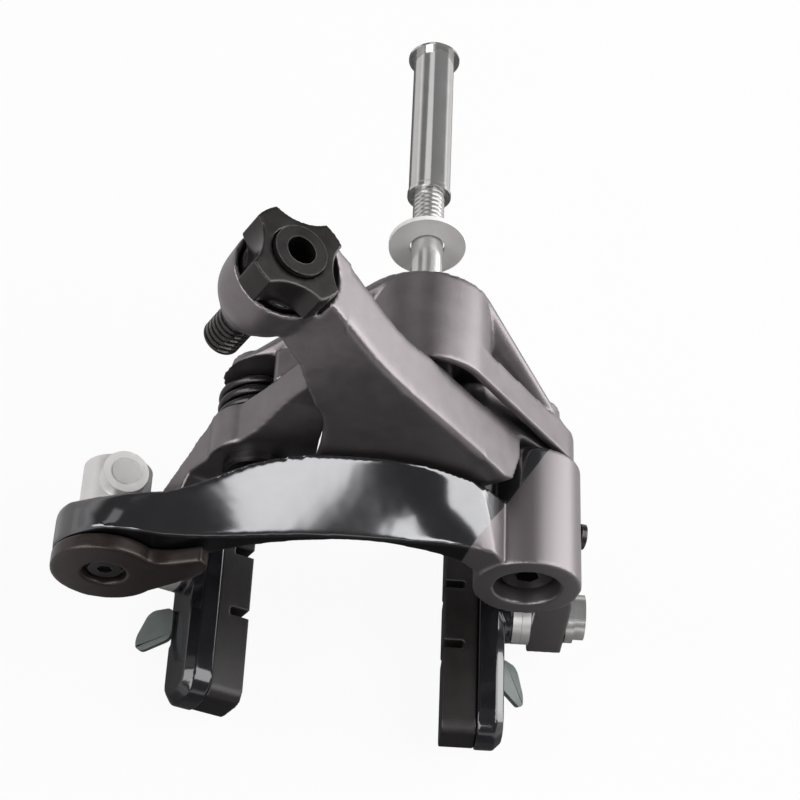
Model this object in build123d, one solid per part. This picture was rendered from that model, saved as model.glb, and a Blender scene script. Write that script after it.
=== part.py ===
"""Dual pivot rim brake caliper, millimetres, +Z up.

The origin is where the axis of the mounting bolt meets the rear face of the bracket.
+X is to the right and +Y to the rear, as someone in front of the brake sees it, so that
every depth below is a distance in front of the mounting face, along -Y.

The brake is built as it stands without a cable: both arms open. The leg and the shoe of
each arm are laid out upright, as they stand on a rim, and are then swung open.
"""
import os
from math import acos, atan2, cos, degrees, radians, sin, sqrt

from build123d import *

# Fits and gaps
RUN = 0.04            # radial clearance of a running fit
SEAT = 0.05           # gap between a face and the thin washer on it
SIDE = 0.3            # gap between neighbouring bodies that swing past each other

# Pivots
PIVOT_X = 26.0        # sideways distance of each pivot from the mounting axis
PIVOT_DROP = 19.0     # distance of the pivots below the mounting axis
PIVOT_R = 4.0         # shoulder of the pivot bolts
PIVOT_THREAD_R = 3.0
OPEN_RIGHT = 11.5     # how far each arm stands open at rest, degrees
OPEN_LEFT = 16.0
CLOSE_LEFT = 15.0     # how far the left arm and the link arm turn

# Bracket
MOUNT_R = 12.5        # round top of the bracket, about the mounting axis
EAR_R = 10.0          # round end of the bracket about the left pivot
RIGHT_EAR_R = 8.8
EAR_LIFT = 3.0        # how far the left ear reaches up from its pivot
SPINE_DEPTH = 13.0    # depth at which the sloping back reaches the ears
WALL_DEPTH = 12.0     # front side of the rear wall
LIP_DEPTH = 18.5      # front lip of the roof
ROOF = 1.6            # thickness of the roof
EAR_BOSS_R = 6.2      # threaded bosses behind the pivots
EAR_BOSS_DEPTH = 6.0
HUB_BOSS_R = 6.5      # boss round the mounting bolt, under the roof
ROOF_END = 5.0        # how far the roof reaches below the pivots
SPIGOT_R = 5.3        # post that carries the left spring
NOTCH_X = 26.3        # inner end of the opening over the left spring

# Mounting hardware
BOLT_R = 3.0
BOLT_REACH = 36.0     # length of the mounting bolt behind the bracket
BOLT_HEAD_R = 5.5
BOLT_HEAD = 5.4
NUT_R = 4.0
NUT_RIM = 26.5        # where the open end of the nut stands
NUT_LENGTH = 35.0
NUT_LIP = 0.2
NUT_HEAD_R = 5.1
NUT_HEAD = 1.9
NUT_BORE = 23.0
WASHER_R = 7.3
WASHER_HOLE_R = 3.3
WASHER_T = 1.0
WASHER_AT = 15.0
WASHER_TILT = 8.0

# Left return spring
WIRE = 1.8
COIL_R = 7.05         # to the middle of the wire
COIL_PITCH = 2.25
COIL_START = 72.0     # angle at which the first turn starts, from +X towards +Z
COIL_QUARTERS = 13    # quarter turns
COIL_BACK = 13.1      # depth of the first turn
COIL_TAIL = 8.0       # straight end of the wire at the bracket
POCKET_R = 8.3        # pocket of the left arm for the last turn
POCKET_FLOOR = 21.9

# Arms
HUB_DEPTH = 19.5      # rear face of both arms' hubs
RIGHT_HUB_R = 10.0
RIGHT_HUB_FRONT = 44.2
RECESS_R = 6.25
RECESS_FLOOR = 38.4
HEAD_R = 5.2
HEAD_T = 3.2
BUSH_WALL = 1.1
LEFT_HUB_R = 9.0
SPRING_ROOM = 8.2     # hollow of the right hub for its spring
SPRING_ROOM_FRONT = 33.6
CUP_FLANGE = 3.4
TRIM_R = 1.5          # centring screw
TRIM_DEPTH = 31.5
LEFT_FRONT = 27.9     # front face of the left arm's hub

# Legs and the slot for the shoe bolt, upright
LEG_X = 33.2
LEG_T = 7.0
LEG_HALF = 5.0        # half the leg's width, along the wheel
LEG_END = 57.1        # end of the leg below the mounting axis
SHOE_DEPTH = 33.5     # depth of the shoe bolt's axis
SHOE_DROP = 50.5      # the shoe bolt below the mounting axis, as the shoe is set
SLOT_HIGH = 44.5      # highest and lowest place of the shoe bolt
SLOT_LOW = 52.0
SLOT_PLAY = 0.15

# Shoe, from the friction face outwards, upright
PAD_FACE = 12.5
PAD_T = 6.8
PAD_H = 10.0
PAD_L = 53.0
PAD_FRONT = 62.2      # depth of the front end of the shoe
GROOVE_W = 1.5
GROOVE_DEEP = 4.0
GROOVE_STEP = 13.0
HOLDER_T = 5.2
HOLDER_H = 12.0
HOLDER_L = 54.5
HOLDER_BOSS = 1.6
DISH_R = 6.0
DISH_T = 2.0
SHOE_BOLT_R = 3.0
SHOE_HEAD_R = 4.5
SHOE_HEAD_T = 2.2
GUIDE_T = 1.1
GUIDE_L = 9.0
GUIDE_W = 7.0
GUIDE_OUT = 3.2       # distance of the guide's leaf from the holder
GUIDE_TURN = 5.6      # lean of the leaf, from upright
GUIDE_DEPTH = 46.0

# Right arm's arch
ARCH_BACK = 30.9      # rear face of the arch beside the hub
QR_X = 50.0           # quick release axis, to the left of the mounting axis
QR_DROP = 30.5        # and below it
QR_END_R = 9.8
QR_FRONT = 44.9       # front face of the arch's left end
QR_BACK = 37.3
QR_SHAFT_R = 3.5
QR_THROW = 2.0        # offset of the stub that carries the cable anchor
THROW_TURN = 280.0    # which way the stub is offset, from +X towards +Z
QR_STUB_R = 3.0
LEVER_T = 3.1
LEVER_RECESS_R = 4.0

# Cable anchor
ANCHOR_R = 6.4
ANCHOR_BACK = 25.6
CLAMP_R = 2.7
CLAMP_TURN = 5.0      # lean of the clamp screw

# Link arm and barrel adjuster
BEAM_TURN = 44.5      # slope of the beam, down to the right
BEAM_TOP = 9.3        # upper face at the right end, above a parallel line through the origin
BEAM_BACK = 19.2
BEAM_REAR = 13.5      # depth of its rear side at the cup
BEAM_FRONT = 30.5
BARREL_X = 38.0       # lower end of the adjusting bolt
BARREL_Z = 9.0
BARREL_TURN = 15.7    # lean of the barrel towards the middle
BARREL_DEPTH = 20.0
CUP_R = 7.5
CUP_WALL = 1.0
CUP_FLOOR = 16.0      # heights along the barrel, from the lower end of the bolt
CUP_LIP = 22.0
CUP_FOOT = 9.5
ADJUST_R = 3.5
ADJUST_HEAD_R = 4.7
ADJUST_HEAD = 3.2
ADJUST_L = 29.6
HOUSING_R = 2.55
HOUSING_DEEP = 8.0
WIRE_HOLE_R = 1.1
KNOB_R = 9.0
KNOB_TOP = 28.6
KNOB_HOLLOW = 8.5     # radius of the four finger hollows
KNOB_HOLLOW_DEEP = 2.6

# Roller between the left arm and the link arm
ROLLER_X = 18.2       # roller axis, left of and above the mounting axis
ROLLER_Z = 6.2
ROLLER_R = 3.8
ROLLER_PIN_R = 1.5
TIP_R = 3.3           # cheeks of the left arm beside the roller
CAM_GAP = 0.1
FINGER_T = 6.4        # the fork of the left arm, along the depth
ROOM_STEP = 16.0      # below this height the room for the left arm in the link arm is as deep as its hub

PIVOT_Z = -PIVOT_DROP
SHOE_Z = -SHOE_DROP
FRONT = Plane.XZ      # local x and y are X and Z, and its normal points to the front


def slab(sketch, start, end):
    """Solid of a front-view sketch between two depths."""
    return extrude(FRONT.offset(start) * sketch, amount=end - start)


def disc(x, z, radius, start, end):
    """Round bar along the depth."""
    return slab(Pos(x, z) * Circle(radius), start, end)


def ring(x, z, outer, inner, start, end):
    return disc(x, z, outer, start, end) - disc(x, z, inner, start, end)


def hull_of_two(p, p_r, q, q_r):
    """Front-view face: two discs and the band between their outer tangents."""
    dx = q[0] - p[0]
    dz = q[1] - p[1]
    far = sqrt(dx * dx + dz * dz)
    lean = acos((p_r - q_r) / far)
    along = atan2(dz, dx)
    corners = []
    for side in (1, -1):
        turn = along + side * lean
        ends = [(p[0] + p_r * cos(turn), p[1] + p_r * sin(turn)),
                (q[0] + q_r * cos(turn), q[1] + q_r * sin(turn))]
        corners += ends if side == 1 else ends[::-1]
    band = make_face(Polyline(*corners, close=True))
    return Pos(*p) * Circle(p_r) + Pos(*q) * Circle(q_r) + band


def swing(shape, angle, x=PIVOT_X, z=PIVOT_Z):
    """Turn a shape about an axis along the depth; positive takes the foot to the right."""
    return Pos(x, 0, z) * Rot(0, -angle, 0) * Pos(-x, 0, -z) * shape


def other_side(shape):
    return mirror(shape, about=Plane.YZ)


def hex_socket(x, z, across, start, end):
    return slab(Pos(x, z) * RegularPolygon(across / sqrt(3), 6), start, end)


# Bracket: sloping spine behind, hooded roof in front


def roof_outline(inset):
    """Front view of the bracket: a round top and an ear at each pivot."""
    right = hull_of_two((0, 0), MOUNT_R - inset, (PIVOT_X, PIVOT_Z), RIGHT_EAR_R - inset)
    left = hull_of_two((0, 0), MOUNT_R - inset, (-PIVOT_X, PIVOT_Z + EAR_LIFT), EAR_R - inset)
    ear = Pos(-PIVOT_X, PIVOT_Z + EAR_LIFT / 2) * Rectangle(2 * (EAR_R - inset), EAR_LIFT)
    return right + left + ear + Pos(-PIVOT_X, PIVOT_Z) * Circle(EAR_R - inset)


def spine(side):
    """Back of the bracket, which slopes from the mounting face out to one ear."""
    top = FRONT * Circle(MOUNT_R - 0.1)
    if side == 1:
        end = Pos(PIVOT_X, PIVOT_Z) * Circle(RIGHT_EAR_R - 0.1)
    else:
        end = Pos(PIVOT_X, PIVOT_Z + EAR_LIFT) * Circle(EAR_R - 0.1)
    ear = FRONT.offset(SPINE_DEPTH) * end
    right = loft([top.face(), ear.face()], ruled=True)
    right = right & Pos(50, -10, 0) * Box(100, 40, 100)
    return right if side == 1 else other_side(right)


def make_bracket():
    body = spine(1) + spine(-1)
    body += disc(0, 0, MOUNT_R, 0, LIP_DEPTH)
    body += slab(roof_outline(0), SPINE_DEPTH - 1.0, LIP_DEPTH)
    cavity = slab(roof_outline(ROOF), WALL_DEPTH, LIP_DEPTH + 1)
    below = PIVOT_DROP + ROOF_END
    skirt = Pos(0, -below - 20) * Rectangle(120, 40)
    cavity += slab(skirt, WALL_DEPTH, LIP_DEPTH + 1)
    inner = Polyline((-PIVOT_X, PIVOT_Z), (0, 0), (PIVOT_X, PIVOT_Z), (PIVOT_X, -60), (-PIVOT_X, -60), close=True)
    cavity += slab(make_face(inner), WALL_DEPTH, LIP_DEPTH + 1)
    body -= cavity
    notch = Pos(-NOTCH_X - 20, PIVOT_Z) * Rectangle(40, 60)
    body -= slab(notch, WALL_DEPTH, LIP_DEPTH + 1)
    body += disc(0, 0, HUB_BOSS_R, WALL_DEPTH - 1, WALL_DEPTH + 0.6)
    for side in (1, -1):
        body += disc(side * PIVOT_X, PIVOT_Z, EAR_BOSS_R, EAR_BOSS_DEPTH, WALL_DEPTH)
        body -= disc(side * PIVOT_X, PIVOT_Z, PIVOT_THREAD_R + SEAT, EAR_BOSS_DEPTH - 1, WALL_DEPTH + 1)
    spigot_front = HUB_DEPTH - 2 * SEAT - 0.4
    body += ring(-PIVOT_X, PIVOT_Z, SPIGOT_R, PIVOT_R + RUN, WALL_DEPTH, spigot_front)
    body += disc(*tail_post(), 1.4, WALL_DEPTH - 1, COIL_BACK + WIRE)
    body -= disc(0, 0, BOLT_R + SEAT, -1, LIP_DEPTH)
    return body


def tail_post():
    """Place of the post that holds the fixed end of the left spring."""
    turn = radians(COIL_START)
    along = Vector(sin(turn), -cos(turn))
    outward = Vector(cos(turn), sin(turn))
    spot = Vector(-PIVOT_X, PIVOT_Z) + outward * (COIL_R + WIRE / 2 + 1.4 + SEAT) + along * (COIL_TAIL - 1.0)
    return spot.X, spot.Y


def make_centre_bolt():
    seat = WALL_DEPTH + 0.6
    bolt = disc(0, 0, BOLT_R, -BOLT_REACH, seat + 1)
    bolt += disc(0, 0, BOLT_HEAD_R, seat, seat + BOLT_HEAD)
    bolt -= hex_socket(0, 0, 5.0, seat + BOLT_HEAD - 3.0, seat + BOLT_HEAD)
    return chamfer(bolt.faces().sort_by(Axis.Y)[-1].edges(), 0.6)


def make_washer():
    flat = ring(0, 0, WASHER_R, WASHER_HOLE_R, -WASHER_T / 2, WASHER_T / 2)
    return Pos(0, WASHER_AT, 0) * Rot(-WASHER_TILT, 0, 0) * flat


def make_recessed_nut():
    """Long sleeve nut that comes through the frame from behind."""
    end = NUT_RIM + NUT_LENGTH
    lip = NUT_R + NUT_LIP
    profile = [(0, end + NUT_HEAD), (NUT_HEAD_R - 1.4, end + NUT_HEAD), (NUT_HEAD_R, end + 0.5), (NUT_HEAD_R, end),
               (NUT_R, end), (NUT_R, NUT_RIM + 1.2), (lip, NUT_RIM + 0.9), (lip, NUT_RIM), (0, NUT_RIM)]
    nut = revolve(make_face(Polyline(*profile, close=True)), Axis.Y)
    nut -= disc(0, 0, BOLT_R + SEAT, -NUT_RIM - NUT_BORE, -NUT_RIM + 1)
    nut -= hex_socket(0, 0, 5.0, -end - NUT_HEAD - 1, -end - NUT_HEAD + 4.5)
    return nut


# Pivot bolts, washers and bushes


def make_pivot_bolt(x, seat, head_r, head_t):
    """Shoulder bolt that screws into an ear of the bracket; its head bears at the seat depth."""
    bolt = disc(x, PIVOT_Z, PIVOT_R, WALL_DEPTH, seat)
    bolt += disc(x, PIVOT_Z, PIVOT_THREAD_R, EAR_BOSS_DEPTH, WALL_DEPTH + 0.1)
    bolt += disc(x, PIVOT_Z, head_r, seat, seat + head_t)
    bolt -= hex_socket(x, PIVOT_Z, 4.0, seat + head_t - 2.2, seat + head_t)
    front = bolt.faces().sort_by(Axis.Y)[0]
    return chamfer(front.outer_wire().edges(), 0.5)


def thrust_washer(x, start):
    return ring(x, PIVOT_Z, 5.9, PIVOT_R + RUN, start, start + 0.4)


def bush(x, start, end):
    return ring(x, PIVOT_Z, PIVOT_R + BUSH_WALL, PIVOT_R + RUN, start, end)


# Springs


def coil_path(centre, radius, pitch, start, quarters, back):
    """Helix about an axis along the depth, as one biarc for each quarter turn."""
    step = radians(90)
    total = quarters * step
    angles = [i * step for i in range(quarters + 1)]

    def place(a):
        t = radians(start) + a
        return Vector(centre[0] + radius * cos(t), -back - pitch * a / radians(360), centre[1] + radius * sin(t))

    def heading(a):
        t = radians(start) + a
        return Vector(-radius * sin(t), -pitch / radians(360), radius * cos(t)).normalized()

    edges = []
    for a, b in zip(angles, angles[1:]):
        edges += biarc(place(a), heading(a), place(b), heading(b))
    return edges, place, heading, total


def biarc(p, p_way, q, q_way):
    """Two arcs that join two points with given headings."""
    gap = q - p
    both = p_way + q_way
    a = 4 - both.dot(both)
    b = gap.dot(both)
    reach = (-b + sqrt(b * b + a * gap.dot(gap))) / a
    first = p + p_way * reach
    second = q - q_way * reach
    middle = (first + second) * 0.5
    return [TangentArc(p, middle, tangent=p_way), TangentArc(middle, q, tangent=second - first)]


def make_coil(centre, radius, pitch, start, quarters, back, wire, tail):
    """Torsion spring: one unbroken wire with a straight end at the rear."""
    edges, place, heading, total = coil_path(centre, radius, pitch, start, quarters, back)
    first = place(0)
    tail_end = first - Vector(heading(0).X, 0, heading(0).Z).normalized() * tail
    path = Wire([Line(tail_end, first).edge()] + [e.edge() for e in edges])
    section = Plane(origin=tail_end, z_dir=first - tail_end) * Circle(wire / 2)
    spring = sweep(section, path=path)
    steps = 60 * quarters
    points = [place(total * i / steps) for i in range(steps + 1)]
    turn_steps = 120
    least = min((points[i] - points[j]).length for i in range(steps + 1) for j in range(i + turn_steps, steps + 1))
    print("spring: least gap to itself", round(least - wire, 2))
    return spring


# Legs and shoes, laid out upright on the right side


def leg_outline():
    """Front view of the leg from the pivot down to its end."""
    half = LEG_T / 2
    knee = SLOT_HIGH - DISH_R - 4 * SIDE
    top = hull_of_two((PIVOT_X, PIVOT_Z), LEFT_HUB_R - 1, (LEG_X, -knee), half)
    foot = Pos(LEG_X, -(knee + LEG_END) / 2) * Rectangle(LEG_T, LEG_END - knee)
    return top + foot


def slot_cut():
    """Slot for the shoe bolt, through the leg from side to side."""
    middle = (SLOT_HIGH + SLOT_LOW) / 2
    width = 2 * (SHOE_BOLT_R + SLOT_PLAY)
    shape = Rot(0, 0, 90) * SlotCenterToCenter(SLOT_LOW - SLOT_HIGH, width)
    side_plane = Plane(origin=(LEG_X - LEG_T, -SHOE_DEPTH, -middle), x_dir=(0, 1, 0), z_dir=(1, 0, 0))
    return extrude(side_plane * shape, amount=2 * LEG_T)


def along_x(radius, x0, x1, depth=SHOE_DEPTH, z=SHOE_Z):
    """Round bar across the brake, on the shoe bolt's axis unless said otherwise."""
    plane = Plane(origin=(x0, -depth, z), z_dir=(1, 0, 0))
    return extrude(plane * Circle(radius), amount=x1 - x0)


def shoe_block(length, height, x0, x1, corner):
    """Block with round ends, between two upright planes across the brake."""
    plane = Plane(origin=(x0, -PAD_FRONT + HOLDER_L / 2, SHOE_Z), x_dir=(0, 1, 0), z_dir=(1, 0, 0))
    return extrude(plane * RectangleRounded(length, height, corner), amount=x1 - x0)


HOLDER_IN = PAD_FACE + PAD_T
HOLDER_OUT = HOLDER_IN + HOLDER_T
LEG_IN = LEG_X - LEG_T / 2
LEG_OUT = LEG_X + LEG_T / 2


def make_pad():
    pad = shoe_block(PAD_L, PAD_H, PAD_FACE, HOLDER_IN - SEAT, 2.5)
    for i in range(3):
        y = -PAD_FRONT + 19.0 + i * GROOVE_STEP
        groove = Pos(PAD_FACE + GROOVE_DEEP / 2 - 0.5, y, SHOE_Z) * Box(GROOVE_DEEP + 1, GROOVE_W, PAD_H + 2)
        pad -= groove
    return pad


def make_holder():
    holder = shoe_block(HOLDER_L, HOLDER_H, HOLDER_IN, HOLDER_OUT, 5.0)
    holder = chamfer(holder.faces().sort_by(Axis.X)[-1].edges(), 1.6)
    holder += along_x(DISH_R, HOLDER_OUT - 1, HOLDER_OUT + HOLDER_BOSS)
    holder -= along_x(SHOE_BOLT_R + SEAT, HOLDER_OUT + HOLDER_BOSS - 5.0, HOLDER_OUT + HOLDER_BOSS + 1)
    return holder - make_guide()


def make_guide():
    """Tongue that leads the wheel between the shoes."""
    bottom = SHOE_Z - HOLDER_H / 2
    leaf = extrude(Plane.YZ * RectangleRounded(GUIDE_L, GUIDE_W, 3.0), amount=GUIDE_T)
    leaf = Pos(HOLDER_OUT + GUIDE_OUT, -GUIDE_DEPTH, bottom - 1.0) * Rot(0, -GUIDE_TURN, 0) * leaf
    stem = Pos(HOLDER_OUT + GUIDE_OUT / 2, -GUIDE_DEPTH, bottom + 1.6) * Box(GUIDE_OUT + 1.6, GUIDE_L - 2.0, GUIDE_T)
    return leaf + stem


def make_inner_dishes():
    start = HOLDER_OUT + HOLDER_BOSS + SEAT
    middle = (start + LEG_IN - SEAT) / 2
    bore = SHOE_BOLT_R + SEAT
    convex = along_x(DISH_R, start, middle - 0.03) - along_x(bore, start - 1, middle + 1)
    concave = along_x(DISH_R, middle + 0.03, LEG_IN - SEAT) - along_x(bore, middle - 1, LEG_IN + 1)
    return [convex, concave]


def make_outer_dish():
    start = LEG_OUT + SEAT
    return along_x(5.2, start, start + 1.6) - along_x(SHOE_BOLT_R + SEAT, start - 1, start + 3)


def make_shoe_bolt():
    head = LEG_OUT + SEAT + 1.6 + SEAT
    bolt = along_x(SHOE_BOLT_R, HOLDER_OUT + HOLDER_BOSS - 4.8, head)
    bolt += along_x(SHOE_HEAD_R, head, head + SHOE_HEAD_T)
    socket = Plane(origin=(head + SHOE_HEAD_T - 2.0, -SHOE_DEPTH, SHOE_Z), z_dir=(1, 0, 0))
    bolt -= extrude(socket * RegularPolygon(4.0 / sqrt(3), 6), amount=3)
    return bolt


# Left arm


def make_left_arm():
    """Hub, leg that steps forward under the arch, and the finger that ends in a fork for the roller."""
    leg = mirror(leg_outline(), about=Plane.YZ)
    leg = slab(leg, HUB_DEPTH, SHOE_DEPTH + LEG_HALF)
    foot = -SHOE_DEPTH - LEG_HALF
    heel = -SHOE_DEPTH + LEG_HALF
    waist = -QR_BACK + 2 * SIDE
    side = Polyline((-LEFT_FRONT, 0), (-LEFT_FRONT, -28.0), (waist, -35.5), (waist, -41.0), (foot, -44.0), (foot, -LEG_END - 1), (heel, -LEG_END - 1),
                    (heel, -38.0), (-HUB_DEPTH, -22.0), (-HUB_DEPTH, 0), close=True)
    leg = leg & extrude(Plane.YZ.offset(-60) * make_face(side), amount=60)
    leg -= mirror(slot_cut(), about=Plane.YZ)
    arm = swing(leg, -OPEN_LEFT, -PIVOT_X)
    arm += slab(wing_outline(), HUB_DEPTH, LEFT_FRONT) & extrude(Plane.YZ.offset(-60) * wing_side(), amount=60)
    arm += disc(-PIVOT_X, PIVOT_Z, LEFT_HUB_R, HUB_DEPTH, LEFT_FRONT)
    clear = ROLLER_R + SIDE
    gap = Pos(-ROLLER_X + 2, ROLLER_Z + 2) * Rectangle(2 * clear + 4, 2 * clear + 4)
    arm -= slab(gap, HUB_DEPTH + 1.6, HUB_DEPTH + FINGER_T - 1.6)
    arm -= disc(-ROLLER_X, ROLLER_Z, ROLLER_PIN_R, HUB_DEPTH - 1, LEFT_FRONT + 1)
    arm -= disc(-PIVOT_X, PIVOT_Z, PIVOT_R + BUSH_WALL, HUB_DEPTH - 1, LEFT_FRONT + 1)
    return arm - ring(-PIVOT_X, PIVOT_Z, POCKET_R, PIVOT_R + BUSH_WALL + 0.6, HUB_DEPTH - 1, POCKET_FLOOR)


def wing_outline():
    """Front view of the left arm above its leg: one sweeping edge, and a straight one beside the link arm."""
    places = wing_edge()
    tip_right = (-ROLLER_X + TIP_R, ROLLER_Z)
    crown = ThreePointArc(places[-1], (-ROLLER_X - 1.2, ROLLER_Z + TIP_R + 0.3), tip_right)
    right = Polyline(tip_right, (-16.7, 1.5), (-16.7, -7.5), (-15.7, -17.0), (-24.0, -30.0), places[0])
    return make_face([Spline(*places), crown, right])


def wing_edge():
    """Outer edge of the left arm, from the hub up to the fork."""
    tip = (-ROLLER_X - TIP_R - 0.9, ROLLER_Z + 1.0)
    return [(-36.6, -30.0), (-35.2, -22.0), (-32.4, -15.0), (-28.8, -7.5), (-25.0, 1.2), tip]


def wing_side():
    """Side view of the same: slim at the fork, deeper towards the hub."""
    tip = -HUB_DEPTH - FINGER_T
    return make_face(Polyline((-HUB_DEPTH, 20), (tip, 20), (tip, 1.5), (-LEFT_FRONT, -9), (-LEFT_FRONT, -40),
                              (-HUB_DEPTH, -40), close=True))


def make_roller():
    return ring(-ROLLER_X, ROLLER_Z, ROLLER_R, ROLLER_PIN_R + RUN, HUB_DEPTH + 1.7, HUB_DEPTH + FINGER_T - 1.7)


def make_roller_pin():
    return disc(-ROLLER_X, ROLLER_Z, ROLLER_PIN_R, HUB_DEPTH + 0.1, HUB_DEPTH + FINGER_T - 0.1)


# Right arm


def arch_outline():
    """Front view of the arch from the hub to the round end of the quick release."""
    end_top = (-QR_X + QR_END_R * cos(radians(130)), -QR_DROP + QR_END_R * sin(radians(130)))
    end_low = (-QR_X + QR_END_R * cos(radians(-20)), -QR_DROP + QR_END_R * sin(radians(-20)))
    top = Spline(end_top, (-52.0, -18.9), (-43.9, -14.8), (-27.3, -8.0), (-15.2, -3.4), (-5.0, -1.2), (5.0, -1.8),
                 (13.0, -6.0), (20.0, -12.0))
    low = Spline((20.0, -24.0), (12.5, -15.6), (4.5, -14.2), (-3.0, -14.3), (-17.0, -17.6), (-31.7, -24.6), end_low)
    body = make_face([top, Line(top @ 1, low @ 0), low, Line(low @ 1, top @ 0)])
    return body + Pos(-QR_X, -QR_DROP) * Circle(QR_END_R)


def arch_plan():
    """Top view of the arch: slim at the quick release and deep at the hub."""
    back = Spline((-60.0, -QR_BACK - 0.2), (-50.0, -QR_BACK - 0.2), (-41.0, -QR_BACK), (-30.0, -33.6),
                  (-8.0, -ARCH_BACK - 0.4), (22.0, -ARCH_BACK))
    front = Spline((22.0, -RIGHT_HUB_FRONT), (4.0, -42.6), (-20.0, -42.9), (-40.0, -QR_FRONT + 0.1), (-60.0, -QR_FRONT))
    return make_face([back, Line(back @ 1, front @ 0), front, Line(front @ 1, back @ 0)])


def above_arch():
    """What is cut off above the arch's sloping face, between its rear edge and the line over its front face."""
    rear = Spline((-58, -37.5, -25.2), (-51, -37.5, -19.8), (-43.9, -37.0, -15.8), (-35.3, -35.5, -12.3),
                  (-27.3, -33.6, -9.0), (-15.2, -31.6, -4.4), (-0.3, -31.0, -1.9), (9.5, -31.0, -4.1), (22.0, -31.0, -9.5))
    front = Spline((-58, -44.9, -22.5), (-50, -44.9, -18.6), (-43.9, -44.7, -18.3), (-36.5, -43.9, -18.0),
                   (-27.3, -43.2, -16.9), (-15.2, -42.8, -14.9), (-1.0, -42.6, -12.4), (9.5, -42.8, -9.4), (22.0, -43.4, -10.0))
    last = 10
    sections = []
    for i in range(last + 1):
        p = rear @ (i / last)
        q = front @ (i / last)
        way = q - p
        p = p - way * 0.2
        q = q + way * 0.3
        up = Vector(0, 0, 25)
        sections.append(make_face(Polyline(p, q, q + up, p + up, close=True)))
    return loft(sections)


def make_right_arm():
    """Deep hub, arch over to the quick release, and the leg of the right shoe."""
    arch = slab(arch_outline(), ARCH_BACK, QR_FRONT)
    arch = arch & extrude(Plane.XY.offset(-70) * arch_plan(), amount=140)
    arch -= above_arch()
    hub = disc(PIVOT_X, PIVOT_Z, RIGHT_HUB_R, HUB_DEPTH, RIGHT_HUB_FRONT)
    leg = slab(leg_outline(), SHOE_DEPTH - LEG_HALF, SHOE_DEPTH + LEG_HALF) - slot_cut()
    arm = arch + hub + swing(leg, OPEN_RIGHT)
    arm -= disc(PIVOT_X, PIVOT_Z, RECESS_R, RECESS_FLOOR, RIGHT_HUB_FRONT + 1)
    arm -= disc(PIVOT_X, PIVOT_Z, PIVOT_R + BUSH_WALL, HUB_DEPTH - 1, RECESS_FLOOR + 1)
    arm -= disc(PIVOT_X, PIVOT_Z, SPRING_ROOM, HUB_DEPTH - 1, SPRING_ROOM_FRONT)
    arm -= disc(-QR_X, -QR_DROP, QR_SHAFT_R + RUN, QR_BACK - 5, QR_FRONT + 5)
    return arm - along_x(TRIM_R + 0.01, PIVOT_X, PIVOT_X + 20, TRIM_DEPTH, PIVOT_Z)


def make_spring_cup():
    """Flanged bush that closes the rear of the right hub."""
    cup = ring(PIVOT_X, PIVOT_Z, SPRING_ROOM - SEAT, PIVOT_R + RUN, HUB_DEPTH, HUB_DEPTH + CUP_FLANGE)
    cup += ring(PIVOT_X, PIVOT_Z, PIVOT_R + BUSH_WALL, PIVOT_R + RUN, HUB_DEPTH, HUB_DEPTH + CUP_FLANGE + 3)
    return cup


# Quick release


def lever_outline():
    """Drop-shaped lever with one hollow side."""
    bow = Spline((-54.4, -39.2), (-51.0, -40.3), (-47.0, -39.4), (-43.0, -36.6), (-38.8, -32.3), (-34.8, -27.8),
                 (-32.7, -24.4), (-32.9, -21.4))
    hollow = Spline((-34.2, -20.2), (-38.4, -22.6), (-42.0, -23.7), (-44.9, -22.9), (-50.0, -20.7))
    body = make_face([bow, Line(bow @ 1, hollow @ 0), hollow, Line(hollow @ 1, bow @ 0)])
    return body + Pos(-QR_X, -QR_DROP) * Circle(QR_END_R)


def make_lever():
    back = QR_FRONT + 0.2
    lever = slab(lever_outline(), back, back + LEVER_T)
    lever -= disc(-QR_X, -QR_DROP, LEVER_RECESS_R, back + 1.0, back + LEVER_T + 1)
    lever -= disc(-QR_X, -QR_DROP, 2.1, back - 1, back + 2)
    return lever


def stub_centre():
    a = radians(THROW_TURN)
    return -QR_X + QR_THROW * cos(a), -QR_DROP + QR_THROW * sin(a)


def make_release_shaft():
    shaft = disc(-QR_X, -QR_DROP, QR_SHAFT_R, QR_BACK, QR_FRONT + 0.15)
    x, z = stub_centre()
    shaft += disc(x, z, QR_STUB_R, ANCHOR_BACK - 1.6, QR_BACK)
    shaft -= disc(-QR_X, -QR_DROP, 2.02, QR_BACK + 1, QR_FRONT + 1)
    return shaft


def make_release_bolt():
    back = QR_FRONT + 0.2
    bolt = disc(-QR_X, -QR_DROP, 2.0, QR_BACK + 2, back + 1.0)
    bolt += disc(-QR_X, -QR_DROP, 3.0, back + 1.0, back + 2.2)
    bolt -= hex_socket(-QR_X, -QR_DROP, 2.5, back + 1.2, back + 3)
    return bolt


def barrel_way():
    turn = radians(BARREL_TURN)
    return Vector(sin(turn), 0, cos(turn))


def clamp_way():
    turn = radians(CLAMP_TURN)
    return Vector(sin(turn), 0, cos(turn))


def make_cable_anchor():
    """Drum on the stub, with a boss on top for the clamp screw."""
    x, z = stub_centre()
    way = clamp_way()
    drum = disc(x, z, ANCHOR_R, ANCHOR_BACK, QR_BACK - SIDE)
    boss_plane = Plane(origin=(x, -30.5, z), z_dir=way)
    drum += extrude(boss_plane * Circle(4.2), amount=9.0)
    drum -= disc(x, z, QR_STUB_R + RUN, ANCHOR_BACK - 1, QR_BACK + 1)
    drum -= extrude(boss_plane * Circle(CLAMP_R + 0.02), amount=12)
    return drum


def make_clamp_screw():
    x, z = stub_centre()
    plane = Plane(origin=Vector(x, -30.5, z) + clamp_way() * (QR_STUB_R + 0.8), z_dir=clamp_way())
    return extrude(plane * Circle(CLAMP_R), amount=5.6)


# Link arm and barrel adjuster

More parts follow.
